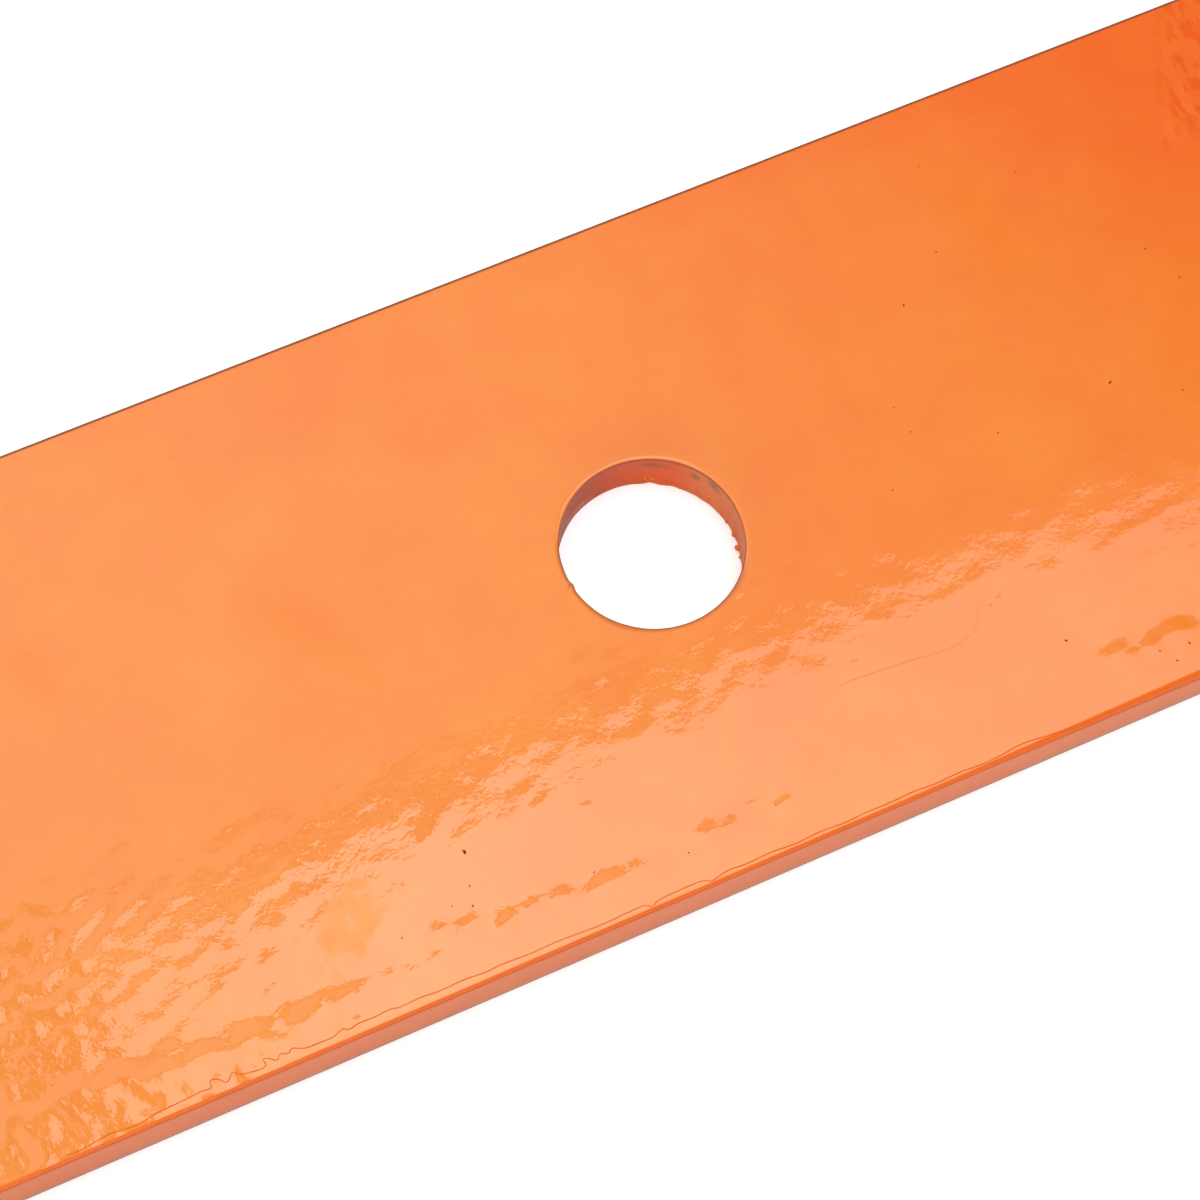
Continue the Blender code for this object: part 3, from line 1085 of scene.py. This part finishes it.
def wall_colour_and_light(x, y, z):
    # Painted shade on the left of the wall and painted light on its right
    wall = blend(WALL_LEFT_SHADED, WALL_MIDDLE, ease(x, *WALL_MIDDLE_X))
    wall = blend(wall, WALL_RIGHT_LIT, ease(x, *WALL_RIGHT_X))
    # Lilac patches of painted sheen
    wall = blend(wall, WALL_SHEEN_LILAC, LILAC_SHEEN_SHARE * wall_marks(x, y, z, LILAC_SHEEN_PATCHES))
    return blend(wall, WALL_GREY, SMUDGE_SHARE * wall_marks(x, y, z, WALL_SMUDGES))


def paint_colour(x, y, z):
    below = top_height(x, y) - z
    # This colour holds the top face's painted falloff of light, as well as its random tone
    colour = blend(PAINT_PALE_AND_LIT, PAINT_DEEP_AND_SHADED, paint_depth_and_falloff(x, y))
    colour = blend(colour, PAINT_YELLOW, np.clip(spots(x, y, YELLOW_PATCHES), 0.0, 1.0))
    colour = blend(colour, PAINT_SMEAR, smeared(x, y))
    colour = blend(colour, STAIN_AND_EDGE_SHADE_BROWN, stained(x, y))
    share = round_share(x, y, below)
    colour = blend(colour, PAINT_SIDE, ease(share, *SIDE_ROUND))
    colour = blend(colour, PAINT_CORNER, on_corner(x, y, share))
    # Painted shade along the long edges
    colour = blend(colour, STAIN_AND_EDGE_SHADE_BROWN, edges_painted_shade(x, y, share))
    # Painted contact shadow along the foot of the near side
    colour = blend(colour, FOOT_SHADOW_GREY, FOOT_SHADOW_SHARE * foot_painted_shadow(y, z))
    # The wall's colour holds painted shade, painted light and painted sheen
    colour = blend(colour, wall_colour_and_light(x, y, z), on_wall(x, y, below))
    # Painted shade round the hole's rim
    return blend(colour, RIM_SHADE_BROWN, rim_painted_shade(x, y, below))


def paint_dullness(x, y, z):
    """How dull the paint is, from 0 for gloss to 1."""
    below = top_height(x, y) - z
    # Duller where the long edges and the hole's rim carry painted shade
    shaded_edges = edges_painted_shade(x, y, round_share(x, y, below)) + rim_painted_shade(x, y, below)
    return np.clip(np.maximum(on_wall(x, y, below), shaded_edges) + smeared(x, y), 0.0, 1.0)


def peel_strength(x, y):
    """How strong the finest orange peel is, against 1 where the paint is calm."""
    rippled = RIPPLED_PEEL * left_ripples(x, y) + CHAOS_PEEL * chaos(x, y)
    return 1.0 + rippled + STREAKED_PEEL * streaked(x, y)


def make_coat(material):
    shell = Shell()
    outer_rim, hole_rim = add_top(shell)
    bottom = add_edge_wall(shell, outer_rim)
    hole_bottom = add_hole_wall(shell, hole_rim)
    add_underside(shell, bottom, hole_bottom)
    points, faces = shell.joined()
    coat = add_solid("blade_coat", points, faces, material)
    mark_bottom_sharp(coat.data)
    x, y, z = points.T
    add_colour_field(coat.data, "paint", paint_colour(x, y, z))
    add_number_field(coat.data, "dull", paint_dullness(x, y, z))
    add_number_field(coat.data, "peel", peel_strength(x, y))
    add_number_field(coat.data, "streak", streaked(x, y))
    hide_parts("mower_blade")
    finish_piece(coat)


def finish_piece(piece):
    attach(piece, "root")


def smooth_path(points, step):
    """Even steps along a smooth curve through the points."""
    points = np.array(points, dtype=float)
    padded = np.concatenate([points[:1], points, points[-1:]])
    curve = []
    for before, start, end, after in zip(padded, padded[1:], padded[2:], padded[3:]):
        pieces = max(2, int(math.hypot(*(end - start)) / step))
        t = (np.arange(pieces) / pieces)[:, None]
        linear = (end - before) * t
        square = (2 * before - 5 * start + 4 * end - after) * t**2
        cubic = (3 * start - before - 3 * end + after) * t**3
        curve.append(0.5 * (2 * start + linear + square + cubic))
    curve.append(points[-1:])
    return np.concatenate(curve)


def make_thread(name, path, radius, sink, material):
    """A fine run of paint along a path on the top face, with only its crest above the face."""
    path = smooth_path(path, THREAD_STEP)
    ahead = np.gradient(path, axis=0)
    ahead /= np.maximum(np.hypot(ahead[:, 0], ahead[:, 1]), 1e-9)[:, None]
    across = np.stack([ahead[:, 1], -ahead[:, 0]], axis=1)
    centre = top_height(path[:, 0], path[:, 1]) - sink
    share = np.linspace(0.0, 1.0, len(path))
    tapered = np.minimum(share, 1.0 - share) * THREAD_TAPER
    thick = radius * np.clip(tapered, THREAD_THINNEST, 1.0)
    around = math.tau * np.arange(THREAD_SIDES) / THREAD_SIDES
    shell = Shell()
    rings = []
    for (x, y), z, r, side in zip(path, centre, thick, across):
        out = r * np.cos(around)
        rings.append(shell.add_points(x + side[0] * out, y + side[1] * out, z + r * np.sin(around)))
    for first, second in zip(rings, rings[1:]):
        shell.band(first, second)
    shell.faces.append(rings[0][None, :])
    shell.faces.append(rings[-1][None, ::-1])
    finish_piece(add_solid(name, *shell.joined(), material))


def lump(shell, centre, radius, flat, seed):
    """A small uneven bead."""
    rng = np.random.default_rng(seed)
    first_turn, second_turn = rng.uniform(0.0, math.tau, 2)
    around = math.tau * np.arange(LUMP_SIDES) / LUMP_SIDES
    uneven = LUMP_UNEVEN[0] * np.cos(2 * around + first_turn)
    uneven += LUMP_UNEVEN[1] * np.cos(3 * around + second_turn)
    rows = []
    for ring in range(LUMP_RINGS):
        turned = math.pi * (ring + 1) / (LUMP_RINGS + 1)
        out = radius * math.sin(turned) * (1.0 + uneven * math.sin(turned))
        x = centre[0] + out * np.cos(around)
        y = centre[1] + out * np.sin(around)
        rows.append(shell.add_points(x, y, centre[2] + radius * flat * math.cos(turned)))
    for upper, lower in zip(rows, rows[1:]):
        shell.band(upper, lower)
    top = shell.add_points(centre[0], centre[1], centre[2] + radius * flat)
    bottom = shell.add_points(centre[0], centre[1], centre[2] - radius * flat)
    for here, there in zip(rows[0], np.roll(rows[0], -1)):
        shell.add_faces([here], [there], top)
    for here, there in zip(rows[-1], np.roll(rows[-1], -1)):
        shell.add_faces([there], [here], bottom)


def make_beads(material):
    shell = Shell()
    for number, (degrees, z, radius) in enumerate(BEADS):
        angle = math.radians(degrees)
        away = float(hole_radius(np.array([angle]), z)[0]) + BEAD_SINK * radius
        centre = (away * math.cos(angle), away * math.sin(angle), z)
        lump(shell, centre, radius, BEAD_FLATNESS, FIRST_BEAD_SEED + number)
    finish_piece(add_solid("hole_beads", *shell.joined(), material))


def make_specks(material):
    shell = Shell()
    rng = np.random.default_rng(SPECK_SEED)
    seed = FIRST_GRAIN_SEED
    for x, y, radius in SPECKS:
        turned = rng.uniform(0.0, math.tau)
        for share in GRAIN_SIZES:
            z = float(top_height(np.array([x]), np.array([y]))[0])
            size = radius * share
            lump(shell, (x, y, z - GRAIN_SINK * size), size, GRAIN_FLATNESS, seed)
            x += GRAIN_GAP * size * math.cos(turned)
            y += GRAIN_GAP * size * math.sin(turned)
            turned += GRAIN_TURN
            seed += 1
    finish_piece(add_solid("dust_specks", *shell.joined(), material))


class Nodes:
    """A short way to write a node tree: each call adds a node and links what it is given."""

    def __init__(self, tree):
        self.tree = tree

    def add(self, kind, settings=None, **inputs):
        made = self.tree.nodes.new(kind)
        for name, value in (settings or {}).items():
            setattr(made, name, value)
        for name, value in inputs.items():
            self.plug(made.inputs[self.socket(name)], value)
        return made

    def socket(self, name):
        """An input's name with _ for a space, or its number after a leading _."""
        if name[0] == "_":
            return int(name[1:])
        return name.replace("_", " ")

    def plug(self, socket, value):
        if isinstance(value, bpy.types.NodeSocket):
            self.tree.links.new(value, socket)
        else:
            socket.default_value = value

    def math(self, operation, *values):
        made = self.add("ShaderNodeMath", {"operation": operation})
        for socket, value in zip(made.inputs, values):
            self.plug(socket, value)
        return made.outputs[0]

    def noise(self, vector, scale, detail=2.0, roughness=0.5):
        made = self.add("ShaderNodeTexNoise", Vector=vector, Scale=scale, Detail=detail)
        made.inputs["Roughness"].default_value = roughness
        return made.outputs["Fac"]

    def field(self, name, output="Fac"):
        """A value stored on the mesh's points."""
        settings = {"attribute_type": "GEOMETRY", "attribute_name": name}
        return self.add("ShaderNodeAttribute", settings).outputs[output]

    def ramp(self, value, low, high, out_low=0.0, out_high=1.0):
        """ease as a node, with its result spread from out_low to out_high."""
        made = self.add("ShaderNodeMapRange", {"interpolation_type": "SMOOTHSTEP"}, Value=value)
        names = ("From Min", "From Max", "To Min", "To Max")
        for name, number in zip(names, (low, high, out_low, out_high)):
            self.plug(made.inputs[name], number)
        return made.outputs["Result"]

    def mix(self, factor, low, high, blend_type="MIX"):
        made = self.add("ShaderNodeMix", {"data_type": "RGBA", "blend_type": blend_type})
        self.plug(made.inputs["Factor"], factor)
        self.plug(made.inputs[6], low)
        self.plug(made.inputs[7], high)
        return made.outputs[2]

    def mix_numbers(self, factor, low, high):
        made = self.add("ShaderNodeMix", {"data_type": "FLOAT"}, _0=factor, _2=low, _3=high)
        return made.outputs[0]


def new_material(name):
    material = bpy.data.materials.new(name)
    material.use_nodes = True
    return material, Nodes(material.node_tree), material.node_tree.nodes["Principled BSDF"]


def coat_paint():
    """Thick gloss orange, faintly mottled, with orange peel, streaks and a few dull patches."""
    material, nodes, shader = new_material("coat_paint")
    place = nodes.add("ShaderNodeTexCoord").outputs["Object"]
    cloud = nodes.ramp(nodes.noise(place, MOTTLE_SCALE, detail=4.0, roughness=0.6), 0.3, 0.7)
    colour = nodes.mix(cloud, nodes.field("paint", "Color"), MOTTLE, "MULTIPLY")
    drawn_out = nodes.add("ShaderNodeMapping", Vector=place, Scale=STREAK_STRETCH).outputs["Vector"]
    streak = nodes.ramp(nodes.noise(drawn_out, STREAK_SCALE), 0.50, 0.60)
    streak = nodes.math("MULTIPLY", streak, nodes.field("streak"))
    nodes.plug(shader.inputs["Base Color"], nodes.mix(streak, colour, STREAK_SHADE, "MULTIPLY"))
    grain = nodes.noise(place, DULL_GRAIN_SCALE, detail=3.0, roughness=0.7)
    grain = nodes.ramp(grain, 0.3, 0.7, 0.7, 1.0)
    dull = nodes.math("MULTIPLY", nodes.field("dull"), grain)
    roughness = nodes.ramp(dull, 0.0, 1.0, GLOSS_ROUGHNESS, DULL_ROUGHNESS)
    nodes.plug(shader.inputs["Roughness"], roughness)
    shader.inputs["IOR"].default_value = 1.5
    peel = nodes.noise(place, PEEL_SCALE, roughness=0.6)
    height = nodes.math("MULTIPLY", peel, nodes.field("peel"))
    bump = nodes.add("ShaderNodeBump", Strength=1.0, Distance=PEEL_BUMP, Height=height)
    nodes.plug(shader.inputs["Normal"], bump.outputs["Normal"])
    return material


def plain_paint(name, colours, roughness, scale=900.0, specular=0.5):
    """Paint that wanders between two colours, with a fine uneven skin."""
    material, nodes, shader = new_material(name)
    low, high = colours
    place = nodes.add("ShaderNodeTexCoord").outputs["Object"]
    cloud = nodes.ramp(nodes.noise(place, scale), 0.3, 0.7)
    nodes.plug(shader.inputs["Base Color"], nodes.mix(cloud, (*low, 1.0), (*high, 1.0)))
    shader.inputs["Roughness"].default_value = roughness
    shader.inputs["Specular IOR Level"].default_value = specular
    skin = nodes.noise(place, SKIN_SCALE)
    bump = nodes.add("ShaderNodeBump", Strength=1.0, Distance=SKIN_BUMP, Height=skin)
    nodes.plug(shader.inputs["Normal"], bump.outputs["Normal"])
    return material


def softbox_panels():
    """The points, levels and faces of the lit panel and of its dim borders."""
    count = len(SOFTBOX_FAR_X)
    points, levels, faces = [], [], []
    rim = np.linspace(*RIM_LEVELS, count)
    far = np.array(SOFTBOX_FAR_Y)
    rows = (
        (np.full(count, SOFTBOX_NEAR), SOFTBOX_LEVELS),
        (far, SOFTBOX_LEVELS),
        (far, rim),
        (far + RIM_DEPTH, rim),
    )
    for across, shine in rows:
        points += [(x, y, SOFTBOX_HEIGHT) for x, y in zip(SOFTBOX_FAR_X, across)]
        levels += list(shine)
    for row in (0, 2):
        for column in range(count - 1):
            first = row * count + column
            faces.append((first, first + count, first + count + 1, first + 1))
    side = len(points)
    for x in (SOFTBOX_FAR_X[0] - RIM_WIDTH, SOFTBOX_FAR_X[0]):
        points += [(x, y, SOFTBOX_HEIGHT) for y in (SOFTBOX_NEAR, SOFTBOX_FAR_Y[0] + RIM_DEPTH)]
        levels += [LEFT_RIM_LEVEL] * 2
    faces.append((side, side + 1, side + 3, side + 2))
    return points, levels, faces


def add_softbox():
    """A lit panel over the blade, dim along its far side and its left side."""
    points, levels, faces = softbox_panels()
    mesh = bpy.data.meshes.new("softbox")
    mesh.from_pydata(points, [], faces)
    add_number_field(mesh, "level", levels)
    material = bpy.data.materials.new("softbox_cloth")
    material.use_nodes = True
    nodes = Nodes(material.node_tree)
    material.node_tree.nodes.remove(material.node_tree.nodes["Principled BSDF"])
    shine = nodes.add("ShaderNodeEmission", Strength=nodes.field("level"))
    output = material.node_tree.nodes["Material Output"]
    nodes.plug(output.inputs["Surface"], shine.outputs["Emission"])
    mesh.materials.append(material)
    softbox = add_object("softbox", mesh)
    softbox.visible_camera = False


def lobe(nodes, towards, axis, width, level):
    """A soft round light far off in the direction of axis."""
    axis = Vector(axis).normalized()
    facing = nodes.add("ShaderNodeVectorMath", {"operation": "DOT_PRODUCT"}, _0=towards, _1=axis)
    return nodes.ramp(facing.outputs["Value"], *width, 0.0, level)


def add_world():
    """A dim ceiling over a pale horizon, with a glow past the softbox and a low fill light."""
    world = bpy.data.worlds.new("studio")
    bpy.context.scene.world = world
    world.use_nodes = True
    nodes = Nodes(world.node_tree)
    towards = nodes.add("ShaderNodeTexCoord").outputs["Generated"]
    parts = nodes.add("ShaderNodeSeparateXYZ", Vector=towards).outputs
    glow = lobe(nodes, towards, GLOW_TOWARDS, GLOW_WIDTH, GLOW_LEVEL)
    fill = lobe(nodes, towards, FILL_TOWARDS, FILL_WIDTH, FILL_LEVEL)
    ceiling = nodes.math("ADD", nodes.math("ADD", glow, CEILING_LEVEL), fill)
    path = nodes.add("ShaderNodeLightPath").outputs
    mirrored = nodes.math("MAXIMUM", path["Is Glossy Ray"], path["Is Transmission Ray"])
    horizon = nodes.mix_numbers(mirrored, HORIZON_LEVEL, 1.0)
    lit = nodes.mix_numbers(nodes.ramp(parts["Z"], *HORIZON_AT), horizon, ceiling)
    background = world.node_tree.nodes["Background"]
    background.inputs["Color"].default_value = (1.0, 1.0, 1.0, 1.0)
    nodes.plug(background.inputs["Strength"], nodes.mix_numbers(path["Is Camera Ray"], lit, 1.0))


def add_floor():
    """Pale paper, lifted to white for the camera and a little in reflections."""
    half = FLOOR_SIZE / 2
    corners = [(-half, -half, 0.0), (half, -half, 0.0), (half, half, 0.0), (-half, half, 0.0)]
    mesh = bpy.data.meshes.new("floor")
    mesh.from_pydata(corners, [], [(0, 1, 2, 3)])
    floor = add_object("floor", mesh)
    floor.location.z = -FLOOR_GAP
    material, nodes, shader = new_material("floor_paper")
    shader.inputs["Base Color"].default_value = (FLOOR_COLOUR, FLOOR_COLOUR, FLOOR_COLOUR, 1.0)
    shader.inputs["Roughness"].default_value = 0.9
    shader.inputs["Emission Color"].default_value = (1.0, 1.0, 1.0, 1.0)
    path = nodes.add("ShaderNodeLightPath").outputs
    mirrored = nodes.math("MAXIMUM", path["Is Glossy Ray"], path["Is Transmission Ray"])
    mirrored = nodes.math("MULTIPLY", mirrored, FLOOR_MIRRORED)
    seen = nodes.math("MAXIMUM", path["Is Camera Ray"], mirrored)
    nodes.plug(shader.inputs["Emission Strength"], nodes.math("MULTIPLY", seen, FLOOR_LIFT))
    mesh.materials.append(material)


def add_camera():
    """The camera, placed so that the hole's centre falls on its pixel in the photograph."""
    data = bpy.data.cameras.new("camera")
    data.sensor_width = SENSOR_MM
    data.lens = SENSOR_MM * LENS_IN_FRAME_WIDTHS
    data.clip_start = 0.01
    camera = add_object("camera", data)
    level, height = math.cos(CAMERA_ELEVATION), math.sin(CAMERA_ELEVATION)
    east, north = math.cos(CAMERA_AZIMUTH), math.sin(CAMERA_AZIMUTH)
    back = Vector((north * level, -east * level, height))
    right = Vector((east, north, 0.0))
    turn = Matrix.Rotation(CAMERA_ROLL, 3, back)
    right, up = turn @ right, turn @ back.cross(right)
    half = FRAME_PIXELS / 2
    focal = FRAME_PIXELS * LENS_IN_FRAME_WIDTHS
    across = (HOLE_CENTRE_PIXEL[0] - half) / focal * CAMERA_DISTANCE
    down = (HOLE_CENTRE_PIXEL[1] - half) / focal * CAMERA_DISTANCE
    hole = Vector((0.0, 0.0, cad_high.z))
    place = hole + back * CAMERA_DISTANCE - right * across + up * down
    axes = Matrix((right, up, back)).transposed()
    camera.matrix_world = Matrix.Translation(place) @ axes.to_4x4()
    bpy.context.scene.camera = camera


def main():
    bpy.context.scene.view_settings.view_transform = "Standard"
    add_camera()
    add_floor()
    add_world()
    add_softbox()
    make_coat(coat_paint())
    fold_paint = plain_paint("fold_paint", FOLD_PAINT, roughness=0.5, specular=0.05)
    thread_paint = plain_paint("thread_paint", THREAD_PAINT, roughness=0.5, specular=0.2)
    bead_paint = plain_paint("bead_paint", BEAD_PAINT, roughness=0.3)
    dust_paint = plain_paint("dust_paint", DUST_PAINT, roughness=0.75, scale=3000.0, specular=0.0)
    fold = [(x, -HALF_WIDTH + from_edge) for x, from_edge in LAP_FOLD]
    make_thread("edge_lap_fold", fold, FOLD_RADIUS, FOLD_SINK, fold_paint)
    make_thread("paint_thread", THREAD, THREAD_RADIUS, THREAD_SINK, thread_paint)
    make_beads(bead_paint)
    make_specks(dust_paint)


main()
